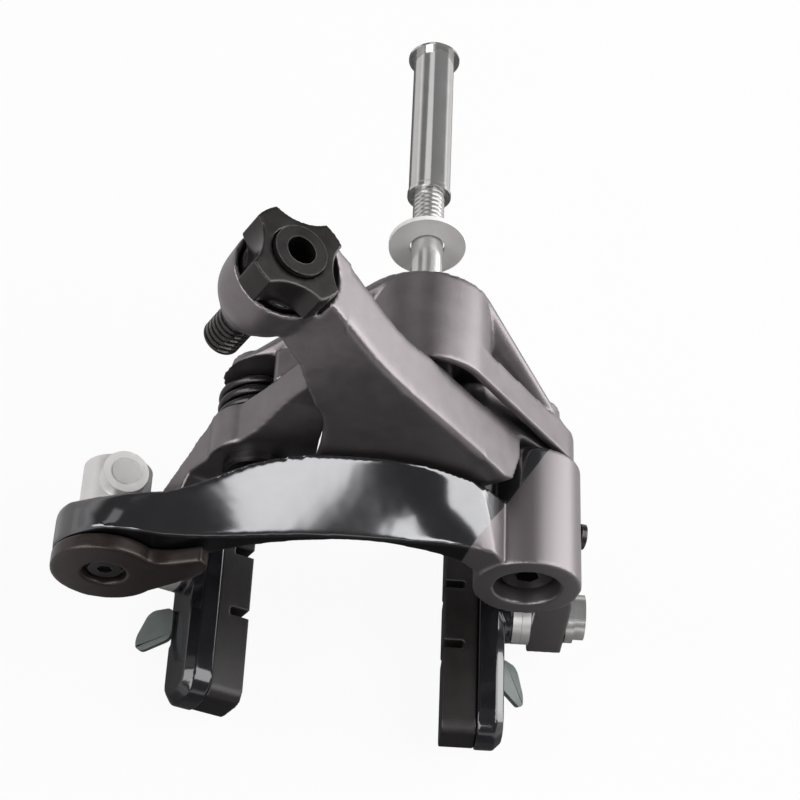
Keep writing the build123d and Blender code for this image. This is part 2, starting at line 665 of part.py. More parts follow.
LUG_BACK = WALL_DEPTH + 2 * SEAT + 0.4
LUG_FRONT = HUB_DEPTH - 2 * SEAT - 0.4
LUG_R = RIGHT_EAR_R - ROOF - SIDE


def beam_point(along, up):
    """Place on the beam: along its slope, and square to it above the origin."""
    turn = radians(BEAM_TURN)
    return along * cos(turn) + up * sin(turn), -along * sin(turn) + up * cos(turn)


def barrel_plane(height):
    foot = Vector(-BARREL_X, -BARREL_DEPTH, BARREL_Z)
    return Plane(origin=foot + barrel_way() * height, x_dir=(0, 1, 0), z_dir=barrel_way())


def barrel_bar(radius, low, high):
    return extrude(barrel_plane(low) * Circle(radius), amount=high - low)


def beam_outline():
    """Front view of the beam: falling towards the cup, rounded at the right, with a nose below for the cam."""
    left_top = beam_point(-44, BEAM_TOP - 3.6)
    right_top = beam_point(20.5, BEAM_TOP)
    top = ThreePointArc(left_top, beam_point(-10, BEAM_TOP - 0.9), right_top)
    right = ThreePointArc(right_top, beam_point(21.7, 6.0), beam_point(17.5, 0.5))
    low = Polyline(beam_point(17.5, 0.5), (9.0, -12.5), (-11.0, -14.5), (-16.8, -12.0), (-17.2, -4.0),
                   (-ROLLER_X, ROLLER_Z - 3.0), beam_point(-30, -6.0), beam_point(-44, -6.0), left_top)
    return make_face([top, right, low])


def beam_plan():
    """The beam seen from above, along its slope: slim beside the cup, full in the middle, skewed at the right."""
    front = Spline((-46.0, -24.5), (-36.0, -26.3), (-26.0, -29.3), (-12.0, -BEAM_FRONT), (4.0, -BEAM_FRONT),
                   (15.0, -BEAM_FRONT))
    rear = Spline((-46.0, -BEAM_REAR), (-34.0, -14.5), (-22.0, -18.6), (-14.0, -BEAM_BACK))
    right = Polyline((15.0, -BEAM_FRONT), (17.8, -BEAM_FRONT + 1.0), (22.5, -BEAM_BACK), (-14.0, -BEAM_BACK))
    return make_face([front, right, rear, Line((-46.0, -BEAM_REAR), (-46.0, -24.5))])


def cup_outside():
    """Body of the cup, turned about the barrel's axis."""
    half = Plane(origin=barrel_plane(0).origin, x_dir=(0, 1, 0), z_dir=Vector(0, 1, 0).cross(barrel_way()))
    lip = CUP_R + CUP_WALL
    side = Spline((5.0, CUP_FOOT), (6.1, 11.4), (7.6, 14.0), (8.3, 18.0), (lip, CUP_LIP))
    rest = Polyline((lip, CUP_LIP), (0, CUP_LIP), (0, CUP_FOOT), (5.0, CUP_FOOT))
    return revolve(half * make_face([side, rest]), Axis(barrel_plane(0).origin, barrel_way()))


def make_link_arm():
    """Beam from the cup of the adjuster to the right pivot, hollow over the left arm's roller."""
    down = beam_point(1, 0)
    up = beam_point(0, 1)
    over = Plane(origin=(-40 * up[0], 0, -40 * up[1]), x_dir=(down[0], 0, down[1]), z_dir=(up[0], 0, up[1]))
    beam = slab(beam_outline(), BEAM_REAR, BEAM_FRONT) & extrude(over * beam_plan(), amount=80)
    boss = cup_outside()
    web_end = beam_point(12, 3)
    lug = slab(hull_of_two((PIVOT_X, PIVOT_Z), LUG_R, web_end, 5.0), LUG_BACK, LUG_FRONT)
    arm = beam + boss + lug + disc(*web_end, 5.0, LUG_BACK, BEAM_BACK + 1)
    arm -= barrel_bar(CUP_R, CUP_FLOOR, CUP_LIP + 1)
    arm -= barrel_bar(KNOB_R + SIDE, CUP_LIP, CUP_LIP + 30)
    arm -= barrel_bar(ADJUST_R + RUN, 0, CUP_FLOOR + 1)
    arm -= disc(PIVOT_X, PIVOT_Z, PIVOT_R + BUSH_WALL, WALL_DEPTH, HUB_DEPTH)
    room = roller_room()
    low = room & Pos(0, ROOM_STEP - 50) * Rectangle(200, 100)
    arm -= slab(room, HUB_DEPTH - 0.5, HUB_DEPTH + FINGER_T + SIDE)
    return arm - slab(low, HUB_DEPTH - 0.5, LEFT_FRONT + SIDE)


def roller_room():
    """Front view of the room that the fork sweeps; its right side is the cam face that bears on the roller.

    Both arms turn by the same angle, so that in the link arm the roller moves on an arc as wide as the pivots
    stand apart, without turning. The cam face is an arc about the same centre.
    """
    span = 2 * PIVOT_X
    reach = span - ROLLER_R - CAM_GAP
    centre = (-ROLLER_X + span, ROLLER_Z)

    def on_cam(degrees_up):
        turn = radians(180 - degrees_up)
        return centre[0] + reach * cos(turn), centre[1] + reach * sin(turn)

    rise = span * sin(radians(CLOSE_LEFT))
    shift = span * (1 - cos(radians(CLOSE_LEFT)))
    roof = ROLLER_Z + rise
    cap = (-ROLLER_X + shift, roof + ROLLER_R + 2 * SIDE)
    side = [(x + shift - 2 * SIDE, z + rise + 2 * SIDE) for x, z in wing_edge()[:2:-1]]
    face = ThreePointArc(on_cam(-18), on_cam(0), on_cam(CLOSE_LEFT))
    over = ThreePointArc(on_cam(CLOSE_LEFT), (-ROLLER_X + shift + 2.9, roof + 2.9), cap)
    rest = Polyline(cap, (cap[0] - TIP_R, cap[1]), *side, (side[-1][0], -16), (on_cam(-18)[0], -16), on_cam(-18))
    return make_face([face, over, rest])


def make_adjusting_bolt():
    """Threaded tube that the cable housing stands in."""
    bolt = barrel_bar(ADJUST_R, 0, ADJUST_L)
    bolt += barrel_bar(ADJUST_HEAD_R, ADJUST_L - ADJUST_HEAD, ADJUST_L)
    bolt -= barrel_bar(HOUSING_R, ADJUST_L - HOUSING_DEEP, ADJUST_L + 1)
    bolt -= barrel_bar(WIRE_HOLE_R, -1, ADJUST_L)
    return bolt


def make_knob():
    """Nut with four finger hollows, whose skirt turns in the cup."""
    knob = barrel_bar(KNOB_R, CUP_LIP + 0.4, KNOB_TOP)
    for i in range(4):
        reach = KNOB_R - KNOB_HOLLOW_DEEP + KNOB_HOLLOW
        turn = radians(90 * i)
        spot = Pos(reach * cos(turn), reach * sin(turn)) * Circle(KNOB_HOLLOW)
        knob -= extrude(barrel_plane(CUP_LIP) * spot, amount=20)
    knob += barrel_bar(CUP_R - 0.5, CUP_FLOOR + 0.2, CUP_LIP + 0.5)
    knob -= barrel_bar(ADJUST_HEAD_R + 0.1, ADJUST_L - ADJUST_HEAD - 0.1, KNOB_TOP + 1)
    knob -= barrel_bar(ADJUST_R + RUN, CUP_FLOOR - 1, KNOB_TOP)
    return knob


def make_centring_screw():
    """Small screw in the right hub that trims the spring behind it."""
    outside = PIVOT_X + RIGHT_HUB_R + 0.1
    screw = along_x(TRIM_R, PIVOT_X + SPRING_ROOM - 0.6, outside + 0.1, TRIM_DEPTH, PIVOT_Z)
    return screw + along_x(2.4, outside, outside + 1.0, TRIM_DEPTH, PIVOT_Z)


def both(name, shape, pieces):
    """Write the same upright piece for both arms, each swung open."""
    pieces["right_" + name] = swing(shape, OPEN_RIGHT)
    pieces["left_" + name] = swing(other_side(shape), -OPEN_LEFT, -PIVOT_X)


def make_all():
    pieces = {"bracket": make_bracket(), "centre_bolt": make_centre_bolt(), "mounting_washer": make_washer(),
              "recessed_nut": make_recessed_nut()}
    pieces["right_pivot_bolt"] = make_pivot_bolt(PIVOT_X, RECESS_FLOOR + SEAT, HEAD_R, HEAD_T)
    pieces["left_pivot_bolt"] = make_pivot_bolt(-PIVOT_X, LEFT_FRONT + SEAT, 6.0, 1.9)
    washers = [thrust_washer(PIVOT_X, WALL_DEPTH + SEAT), thrust_washer(PIVOT_X, HUB_DEPTH - SEAT - 0.4),
               thrust_washer(-PIVOT_X, HUB_DEPTH - SEAT - 0.4)]
    pieces["thrust_washers"] = Compound(children=washers)
    pieces["left_return_spring"] = make_coil((-PIVOT_X, PIVOT_Z), COIL_R, COIL_PITCH, COIL_START, COIL_QUARTERS, COIL_BACK,
                                             WIRE, COIL_TAIL)
    pieces["right_return_spring"] = make_coil((PIVOT_X, PIVOT_Z), 6.3, 2.05, 0.0, 11, 25.5, 1.5, 1.0)
    pieces["right_arm"] = make_right_arm()
    pieces["right_hub_bush"] = bush(PIVOT_X, SPRING_ROOM_FRONT, RECESS_FLOOR)
    pieces["right_spring_cup"] = make_spring_cup()
    pieces["centring_screw"] = make_centring_screw()
    pieces["left_arm"] = make_left_arm()
    pieces["left_hub_bush"] = bush(-PIVOT_X, HUB_DEPTH, LEFT_FRONT)
    pieces["roller"] = make_roller()
    pieces["roller_pin"] = make_roller_pin()
    pieces["link_arm"] = make_link_arm()
    pieces["link_bush"] = bush(PIVOT_X, LUG_BACK, LUG_FRONT)
    pieces["adjusting_bolt"] = make_adjusting_bolt()
    pieces["adjuster_knob"] = make_knob()
    pieces["release_lever"] = make_lever()
    pieces["release_shaft"] = make_release_shaft()
    pieces["release_bolt"] = make_release_bolt()
    pieces["cable_anchor"] = make_cable_anchor()
    pieces["cable_clamp_screw"] = make_clamp_screw()
    both("brake_pad", make_pad(), pieces)
    both("shoe_holder", make_holder(), pieces)
    both("wheel_guide", make_guide(), pieces)
    both("outer_washer", make_outer_dish(), pieces)
    both("shoe_bolt", make_shoe_bolt(), pieces)
    for name, shape in zip(("convex_washer", "concave_washer"), make_inner_dishes()):
        both(name, shape, pieces)
    return pieces


os.makedirs("parts", exist_ok=True)
for node, shape in make_all().items():
    export_step(shape, f"parts/{node}.step")
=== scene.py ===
"""Looks of the dual pivot rim brake caliper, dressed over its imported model.

Everything is in metres, in the frame of the model: +X to the right and +Y to the rear for
someone in front of the brake, +Z up, and the origin on the mounting bolt's axis where it
meets the rear face of the bracket.
"""

import logging
import math
from dataclasses import dataclass, replace
from enum import Enum
from typing import ClassVar

import bpy
from mathutils import Euler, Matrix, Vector


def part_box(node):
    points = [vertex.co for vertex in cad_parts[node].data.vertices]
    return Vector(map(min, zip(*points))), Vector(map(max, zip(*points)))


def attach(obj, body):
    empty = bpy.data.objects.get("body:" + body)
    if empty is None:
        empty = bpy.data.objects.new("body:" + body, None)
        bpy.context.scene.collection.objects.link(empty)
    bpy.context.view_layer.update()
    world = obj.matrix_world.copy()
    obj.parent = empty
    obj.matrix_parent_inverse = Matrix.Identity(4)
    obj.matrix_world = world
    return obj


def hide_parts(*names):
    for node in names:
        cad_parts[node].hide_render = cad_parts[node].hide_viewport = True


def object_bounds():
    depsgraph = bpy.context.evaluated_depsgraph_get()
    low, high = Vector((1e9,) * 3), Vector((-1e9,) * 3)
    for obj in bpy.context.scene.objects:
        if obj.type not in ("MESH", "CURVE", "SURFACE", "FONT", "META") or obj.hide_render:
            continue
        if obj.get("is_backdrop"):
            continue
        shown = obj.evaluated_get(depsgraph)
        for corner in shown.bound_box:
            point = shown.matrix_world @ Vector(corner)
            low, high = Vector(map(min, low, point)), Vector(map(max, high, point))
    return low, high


log = logging.getLogger("caliper")
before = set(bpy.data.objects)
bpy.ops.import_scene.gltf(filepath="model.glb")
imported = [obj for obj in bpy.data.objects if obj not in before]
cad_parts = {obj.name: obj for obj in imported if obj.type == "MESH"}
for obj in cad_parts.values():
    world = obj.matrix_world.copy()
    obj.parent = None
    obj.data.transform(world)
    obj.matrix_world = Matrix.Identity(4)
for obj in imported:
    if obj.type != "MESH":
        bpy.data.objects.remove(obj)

MM = 0.001
MICRON = 0.000001
MERGE_GAP = 2 * MICRON            # triangles of a CAD mesh are joined below this
QUARTER_TURN = math.pi / 2
SMOOTHING = 0.5                   # how far one pass of smoothing moves a vertex

Colour = tuple[float, float, float]
Point = tuple[float, float, float]
Span = tuple[float, float]        # from and to
Pair = tuple[float, float]

WHITE: Colour = (1.0, 1.0, 1.0)


class Axis(Enum):
    """The axis about which a part was turned on a lathe."""

    X = "X"
    Y = "Y"


class Side(Enum):
    """The side of the wheel on which a shoe sits."""

    LEFT = "left"
    RIGHT = "right"

    @property
    def way(self) -> float:
        """1 where outward is +X and -1 where it is -X."""
        return 1.0 if self is Side.RIGHT else -1.0


class Slot(Enum):
    """The record's material slots, which each new piece holds; this script does not apply them.
    """

    SATIN_GREY = "satin_grey"
    GLOSS_BLACK = "gloss_black"
    SATIN_BLACK = "satin_black"
    STEEL = "steel"
    PAD_RUBBER = "pad_rubber"
    GUIDE_GREY = "guide_grey"


class Value:
    """A number in a material's node tree, on which Python's arithmetic adds Math nodes."""

    def __init__(self, tree: "Tree", socket: bpy.types.NodeSocket) -> None:
        """Wraps a socket.

        Args:
            tree: The tree that the socket belongs to.
            socket: An output socket.
        """
        self.tree = tree
        self.socket = socket

    def _math(self, operation: str, first: object, second: object) -> "Value":
        """Adds one Math node.

        Args:
            operation: The node's operation.
            first: Its first operand, a Value or a number.
            second: Its second operand.

        Returns:
            The node's result.
        """
        made = self.tree.node("ShaderNodeMath", {"operation": operation}, {0: first, 1: second})
        return self.tree.out(made, "Value")

    def __add__(self, other: object) -> "Value":
        """self + other."""
        return self._math("ADD", self, other)

    def __radd__(self, other: object) -> "Value":
        """other + self."""
        return self._math("ADD", other, self)

    def __sub__(self, other: object) -> "Value":
        """self - other."""
        return self._math("SUBTRACT", self, other)

    def __rsub__(self, other: object) -> "Value":
        """other - self."""
        return self._math("SUBTRACT", other, self)

    def __mul__(self, other: object) -> "Value":
        """self * other."""
        return self._math("MULTIPLY", self, other)

    def __rmul__(self, other: object) -> "Value":
        """other * self."""
        return self._math("MULTIPLY", other, self)

    def clamped(self) -> "Value":
        """The value held between 0 and 1."""
        return self._math("MAXIMUM", self._math("MINIMUM", self, 1.0), 0.0)


@dataclass(frozen=True)
class Pattern:
    """A noise pattern: its cells per metre and its octaves."""

    scale: float
    detail: float


class Tree:
    """The node tree of one material or of the world."""

    def __init__(self, tree: bpy.types.NodeTree) -> None:
        """Empties the tree.

        Args:
            tree: A material's or the world's node tree.
        """
        self.tree = tree
        tree.nodes.clear()

    def node(self, kind: str, settings: dict | None = None,
             inputs: dict | None = None) -> bpy.types.Node:
        """Adds a node of any kind.

        Args:
            kind: The node's type.
            settings: Its settings, such as a Math node's operation, set first.
            inputs: Values or links for its sockets, by name or number.

        Returns:
            The node.
        """
        made = self.tree.nodes.new(kind)
        for key, value in (settings or {}).items():
            setattr(made, key, value)
        for key, value in (inputs or {}).items():
            if isinstance(value, Value):
                self.tree.links.new(value.socket, made.inputs[key])
            else:
                made.inputs[key].default_value = value
        return made

    def out(self, node: bpy.types.Node, name: str) -> Value:
        """One output of a node, as a value.

        Args:
            node: The node.
            name: The output's name.

        Returns:
            The value.
        """
        return Value(self, node.outputs[name])

    def place(self) -> Value:
        """The place on the object, in its own coordinates."""
        return self.out(self.node("ShaderNodeTexCoord"), "Object")

    def part(self, vector: Value, name: str) -> Value:
        """One coordinate of a vector.

        Args:
            vector: The vector.
            name: X, Y or Z.

        Returns:
            The coordinate.
        """
        return self.out(self.node("ShaderNodeSeparateXYZ", None, {"Vector": vector}), name)

    def noise(self, where: Value, pattern: Pattern) -> Value:
        """Noise over the surface.

        Args:
            where: The place, a vector.
            pattern: How fine the noise is.

        Returns:
            A value around 0.5.
        """
        made = self.node("ShaderNodeTexNoise", None, {
            "Vector": where, "Scale": pattern.scale, "Detail": pattern.detail})
        return self.out(made, "Fac")

    def ramp(self, value: Value, span: Span) -> Value:
        """The value stretched so that the span's start is 0 and its end 1, and held there.

        Args:
            value: The value.
            span: Where the result is 0, and where it is 1.

        Returns:
            The stretched value.
        """
        made = self.node("ShaderNodeMapRange", {"interpolation_type": "SMOOTHSTEP"},
                         {"Value": value, "From Min": span[0], "From Max": span[1]})
        return self.out(made, "Result")

    def blend(self, factor: Value, first: object, second: object) -> Value:
        """A colour between two.

        Args:
            factor: 0 for the first colour, 1 for the second.
            first: A colour or a link.
            second: A colour or a link.

        Returns:
            The colour.
        """
        made = self.node("ShaderNodeMix", {"data_type": "RGBA"},
                         {0: factor, 6: self._rgba(first), 7: self._rgba(second)})
        return Value(self, made.outputs[2])

    def glow(self, colour: object) -> Value:
        """A surface that shines in a colour, where 1 is white paper."""
        made = self.node("ShaderNodeEmission", None,
                         {"Color": self._rgba(colour), "Strength": 1.0})
        return self.out(made, "Emission")

    def sky(self, colour: object) -> Value:
        """A world that shines in a colour, where 1 is white paper."""
        made = self.node("ShaderNodeBackground", None,
                         {"Color": self._rgba(colour), "Strength": 1.0})
        return self.out(made, "Background")

    def mixed(self, factor: Value, first: Value, second: Value) -> Value:
        """A mix of two shaders.

        Args:
            factor: 0 for the first shader, 1 for the second.
            first: A shader.
            second: A shader.

        Returns:
            The mix.
        """
        made = self.node("ShaderNodeMixShader", None, {0: factor, 1: first, 2: second})
        return self.out(made, "Shader")

    @staticmethod
    def _rgba(colour: object) -> object:
        """A colour with its alpha, or a link as it is."""
        return colour if isinstance(colour, Value) else (*colour, 1.0)


@dataclass(frozen=True)
class Finish:
    """A surface as it leaves the workshop, with the wear of a part that has been handled, and
    on satin black a highlight painted along its edges.
    """

    SHADE: ClassVar[Pattern] = Pattern(320.0, 4.0)      # slow unevenness
    SMEARS: ClassVar[Pattern] = Pattern(90.0, 5.0)      # of fingers
    CHIPS: ClassVar[Pattern] = Pattern(900.0, 3.0)      # gaps in the wear of an edge
    SPECK_DETAIL: ClassVar[float] = 2.0
    GRAIN_DETAIL: ClassVar[float] = 3.0
    SHADE_SHARE: ClassVar[float] = 0.7                  # the rest is specks
    CONTRAST: ClassVar[float] = 2.0
    EDGE_SAMPLES: ClassVar[int] = 4
    EDGE_SPAN: ClassVar[Span] = (0.02, 0.22)            # how far the normals part there
    CHIP_SPAN: ClassVar[Span] = (0.36, 0.62)
    WORN_EVENLY: ClassVar[float] = 0.35                 # the rest of the wear is broken up
    RINGS: ClassVar[dict[str, float]] = {
        "Scale": 900.0, "Distortion": 1.5, "Detail": 2.0, "Detail Scale": 300.0}
    RING_SHARE: ClassVar[float] = 0.6                   # the rest is grain
    COAT_ROUGHNESS: ClassVar[float] = 0.05

    name: str
    colour: Colour
    metallic: float
    roughness: float
    grain: float = 7000.0         # cells per metre
    grain_depth: float = 12 * MICRON
    mottle: float = 0.10          # how far the roughness strays
    tint: float = 0.25            # how far the colour strays
    # Colour of the worn edges; on satin black it is a painted highlight.
    edge: Colour = (0.20, 0.19, 0.19)
    edge_wear_and_highlight: float = 0.35       # share of the edge colour where the edge is most marked: wear, and on satin black a painted highlight
    edge_width: float = 0.5 * MM
    coat: float = 0.0
    turned: Axis | None = None
    centre: Point = (0.0, 0.0, 0.0)

    def material(self) -> bpy.types.Material:
        """Builds the material.

        Returns:
            The material, made anew.
        """
        made = bpy.data.materials.new(self.name)
        made.use_nodes = True
        tree = Tree(made.node_tree)
        place = tree.place()
        worn_and_lit_edge = self._edges(tree, place)
        shade = tree.noise(place, self.SHADE)
        colour = tree.blend(worn_and_lit_edge, self._colour(tree, place, shade), self.edge)
        shader = tree.node("ShaderNodeBsdfPrincipled", None, {
            "Base Color": colour, "Roughness": self._roughness(tree, place, shade),
            "Metallic": self._metal(tree, place), "Coat Weight": self.coat,
            "Coat Roughness": self.COAT_ROUGHNESS, "Normal": self._normal(tree, place)})
        tree.node("ShaderNodeOutputMaterial", None, {"Surface": tree.out(shader, "BSDF")})
        return made

    def _edges(self, tree: Tree, place: Value) -> Value:
        """Where handling has worn the edges, and where satin black has highlights painted along
        them.

        Args:
            tree: The material's tree.
            place: Object coordinates.

        Returns:
            0 on the faces, up to the edge wear along the edges.
        """
        soft = tree.node("ShaderNodeBevel", {"samples": self.EDGE_SAMPLES},
                         {"Radius": self.edge_width})
        real = tree.node("ShaderNodeNewGeometry")
        turn = tree.node("ShaderNodeVectorMath", {"operation": "DOT_PRODUCT"},
                         {0: tree.out(soft, "Normal"), 1: tree.out(real, "Normal")})
        sharp = tree.ramp(1.0 - tree.out(turn, "Value"), self.EDGE_SPAN)
        broken = tree.ramp(tree.noise(place, self.CHIPS), self.CHIP_SPAN)
        worn_and_lit_edge = self.WORN_EVENLY + (1.0 - self.WORN_EVENLY) * broken
        return sharp * worn_and_lit_edge * self.edge_wear_and_highlight

    def _metal(self, tree: Tree, place: Value) -> Value | float:
        """How metallic the surface is, the same all over unless a finish says otherwise."""
        return self.metallic

    def _colour(self, tree: Tree, place: Value, shade: Value) -> Value:
        """The colour of the faces, a little uneven.

        Args:
            tree: The material's tree.
            place: Object coordinates.
            shade: The slow noise that the roughness follows too.

        Returns:
            The colour.
        """
        speck = tree.noise(place, Pattern(self.grain, self.SPECK_DETAIL))
        uneven = shade * self.SHADE_SHARE + speck * (1.0 - self.SHADE_SHARE)
        stretched = (uneven - 0.5) * self.CONTRAST + 0.5
        low = tuple(c * (1.0 - self.tint) for c in self.colour)
        high = tuple(min(1.0, c * (1.0 + self.tint)) for c in self.colour)
        return tree.blend(stretched.clamped(), low, high)

    def _roughness(self, tree: Tree, place: Value, shade: Value) -> Value:
        """The roughness, with the smears of handling.

        Args:
            tree: The material's tree.
            place: Object coordinates.
            shade: The slow noise.

        Returns:
            The roughness.
        """
        smear = tree.noise(place, self.SMEARS)
        stray = shade + smear - 1.0     # each of the two lies around 0.5
        return (self.roughness + stray * self.mottle).clamped()

    def _normal(self, tree: Tree, place: Value) -> Value:
        """The grain of the surface, and its lathe marks if it was turned.

        Args:
            tree: The material's tree.
            place: Object coordinates.

        Returns:
            The normal.
        """
        height = tree.noise(place, Pattern(self.grain, self.GRAIN_DETAIL))
        if self.turned:
            centred = tree.node("ShaderNodeMapping", None, {
                "Vector": place, "Location": tuple(-c for c in self.centre)})
            rings = tree.node(
                "ShaderNodeTexWave",
                {"wave_type": "RINGS", "rings_direction": self.turned.value},
                {"Vector": tree.out(centred, "Vector"), **self.RINGS})
            height = (height * (1.0 - self.RING_SHARE)
                      + tree.out(rings, "Fac") * self.RING_SHARE)
        bump = tree.node("ShaderNodeBump", None,
                         {"Height": height, "Distance": self.grain_depth, "Strength": 1.0})
        return tree.out(bump, "Normal")


@dataclass(frozen=True)
class PolishedArch(Finish):
    """The arch, polished black on its sloping face, blasted matte about its hub, and painted
    with shade on its front edge and underside.
    """

    slant: float = 0.64           # slope of the line where the hub's blasting starts
    slant_from: float = 39.6 * MM
    slant_blur: float = 0.5 * MM
    hub_colour: Colour = (0.180, 0.164, 0.169)
    hub_roughness: float = 0.40
    # Painted shade: a black colour on the narrow front edge and the underside, with its
    # roughness and the span over which it fades in.
    painted_shade_colour: Colour = (0.014, 0.013, 0.014)
    painted_shade_roughness: float = 0.40
    painted_shade_span: Span = (0.02, 0.34)                     # upward part of the normal
    # How metallic the blasted hub and the painted shade are.
    hub_and_painted_shade_metallic: float = 0.80

    def _hub(self, tree: Tree, place: Value) -> Value:
        """1 on the blasted hub and 0 on the arch.

        Args:
            tree: The material's tree.
            place: Object coordinates.

        Returns:
            The mask.
        """
        along = tree.part(place, "X") - tree.part(place, "Y") * self.slant
        return tree.ramp(along, (self.slant_from, self.slant_from + self.slant_blur))

    def _painted_shade_mask(self, tree: Tree) -> Value:
        """Where shade is painted: 1 on the narrow front edge and the underside, 0 on the
        sloping face.

        Args:
            tree: The material's tree.

        Returns:
            The mask.
        """
        normal = tree.out(tree.node("ShaderNodeNewGeometry"), "Normal")
        return 1.0 - tree.ramp(tree.part(normal, "Z"), self.painted_shade_span)

    def _metal(self, tree: Tree, place: Value) -> Value:
        """Bare metal where it is polished, and less metallic on the blasted hub and under the
        painted shade beneath.
        """
        hub_and_painted_shade = (self._hub(tree, place) + self._painted_shade_mask(tree)).clamped()
        return self.metallic - (self.metallic - self.hub_and_painted_shade_metallic) * hub_and_painted_shade

    def _colour(self, tree: Tree, place: Value, shade: Value) -> Value:
        """Bright black where it is polished, black painted shade on the front edge and
        underside, and grey on the hub.
        """
        polished = super()._colour(tree, place, shade)
        arch = tree.blend(self._painted_shade_mask(tree), polished, self.painted_shade_colour)
        return tree.blend(self._hub(tree, place), arch, self.hub_colour)

    def _roughness(self, tree: Tree, place: Value, shade: Value) -> Value:
        """Smooth where it is polished, and matte where it is blasted and under the painted
        shade.
        """
        hub = self._hub(tree, place)
        painted_shade_share = self._painted_shade_mask(tree)
        polished = super()._roughness(tree, place, shade)
        arch = polished * (1.0 - painted_shade_share) + painted_shade_share * self.painted_shade_roughness
        return arch * (1.0 - hub) + hub * self.hub_roughness


ANODISED = Finish("anodised_grey", (0.180, 0.164, 0.169), 0.80, 0.36, grain=4200.0,
                  grain_depth=22 * MICRON, tint=0.14, edge=(0.30, 0.285, 0.29),
                  edge_wear_and_highlight=0.22)
ARCH = PolishedArch("polished_arch", (0.135, 0.135, 0.139), 0.95, 0.13, grain=3000.0,
                    grain_depth=1 * MICRON, mottle=0.05, tint=0.06, edge_wear_and_highlight=0.0)
LACQUER = Finish("holder_lacquer", (0.016, 0.016, 0.019), 0.2, 0.16, grain=2500.0,
                 grain_depth=3 * MICRON, mottle=0.06, edge=(0.06, 0.06, 0.065),
                 edge_wear_and_highlight=0.3, coat=0.7)
# Its pale edge colour is a painted highlight along the edges of the knob and the adjusting
# bolt.
SATIN = Finish("satin_black", (0.030, 0.026, 0.026), 0.6, 0.22, grain=5000.0,
               grain_depth=5 * MICRON, edge=(0.30, 0.28, 0.28), edge_wear_and_highlight=0.5)
LEVER = Finish("lever_brown_black", (0.036, 0.027, 0.024), 0.5, 0.33, grain=4500.0,
               grain_depth=12 * MICRON, edge=(0.15, 0.13, 0.12), edge_wear_and_highlight=0.35)
STEEL = Finish("bright_steel", (0.60, 0.595, 0.585), 0.85, 0.24, grain=4000.0,
               grain_depth=3 * MICRON, tint=0.05, edge=(0.58, 0.58, 0.57), edge_wear_and_highlight=0.3)
TURNED_STEEL = replace(STEEL, turned=Axis.Y)
NUT_STEEL = replace(TURNED_STEEL, roughness=0.12)
DARK_STEEL = Finish("black_oxide_steel", (0.055, 0.052, 0.052), 0.9, 0.30, grain=5000.0,
                    grain_depth=6 * MICRON, edge=(0.22, 0.21, 0.21), edge_wear_and_highlight=0.6,
                    turned=Axis.Y)
SPRING = Finish("spring_wire", (0.045, 0.042, 0.042), 0.9, 0.28, grain=5000.0,
                grain_depth=6 * MICRON, edge=(0.15, 0.15, 0.15), edge_wear_and_highlight=0.2)
BRONZE = Finish("bush_bronze", (0.36, 0.22, 0.10), 1.0, 0.34, grain=4000.0,
                grain_depth=6 * MICRON, edge=(0.50, 0.34, 0.18))
NYLON = Finish("black_nylon", (0.028, 0.028, 0.030), 0.0, 0.50, grain=3500.0,
               grain_depth=10 * MICRON, edge=(0.07, 0.07, 0.07))
RUBBER = Finish("pad_rubber", (0.011, 0.0085, 0.0080), 0.0, 0.46, grain=3000.0,
                grain_depth=25 * MICRON, tint=0.35, edge=(0.050, 0.040, 0.036),
                edge_wear_and_highlight=0.5, edge_width=0.8 * MM)
GUIDE = Finish("guide_plastic", (0.105, 0.125, 0.118), 0.0, 0.42, grain=3500.0,
               grain_depth=10 * MICRON, tint=0.15, edge=(0.20, 0.22, 0.21))
SILVER = Finish("silver_plate", (0.74, 0.73, 0.72), 0.6, 0.36, grain=5000.0,
                grain_depth=6 * MICRON, tint=0.05, edge=(0.64, 0.64, 0.63), edge_wear_and_highlight=0.3)
WASHER_PLATING = replace(SILVER, name="washer_plating", colour=(0.86, 0.84, 0.83),
                         metallic=0.1, roughness=0.45, turned=Axis.Y)


class Dresser:
    """Gives finishes to nodes and pieces, each finish made into a material only once."""

    def __init__(self) -> None:
        """Starts with no material made."""
        self.made: dict[str, bpy.types.Material] = {}

    def dress(self, thing: bpy.types.Object, finish: Finish) -> None:
        """Puts a finish on an object in place of what it had.

        Args:
            thing: A CAD node or a new piece.
            finish: The finish.
        """
        if finish.name not in self.made:
            self.made[finish.name] = finish.material()
        thing.data.materials.clear()
        thing.data.materials.append(self.made[finish.name])

    def dress_nodes(self, finishes: dict[str, Finish]) -> None:
        """Puts finishes on CAD nodes that stay in view, lathe marks about each one's middle.

        Args:
            finishes: The finish of each node.
        """
        for name, finish in finishes.items():
            if finish.turned:
                low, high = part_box(name)
                finish = replace(finish, name=f"{finish.name}_{name}",
                                 centre=tuple((low + high) / 2.0))
            self.dress(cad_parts[name], finish)
            log.info("node %s wears %s", name, finish.name)


def alone(thing: bpy.types.Object) -> None:
    """Selects one object and nothing else.

    Args:
        thing: The object.
    """
    bpy.ops.object.select_all(action="DESELECT")
    thing.select_set(True)
    bpy.context.view_layer.objects.active = thing


def apply_modifier(thing: bpy.types.Object, kind: str, settings: dict) -> None:
    """Adds a modifier to an object and applies it.

    Args:
        thing: The object.
        kind: The modifier's type.
        settings: Its settings.
    """
    alone(thing)
    modifier = thing.modifiers.new(kind.lower(), kind)
    for key, value in settings.items():
        setattr(modifier, key, value)
    bpy.ops.object.modifier_apply(modifier=modifier.name)


def set_down(thing: bpy.types.Object, place: Point, turn: Point) -> None:
    """Turns an object and puts it in its place, then moves both into its mesh.

    Args:
        thing: The object, at the origin.
        place: Where its origin goes.
        turn: Its angles about the three axes.
    """
    thing.rotation_euler = Euler(turn)
    thing.location = place
    alone(thing)
    bpy.ops.object.transform_apply(location=True, rotation=True, scale=True)


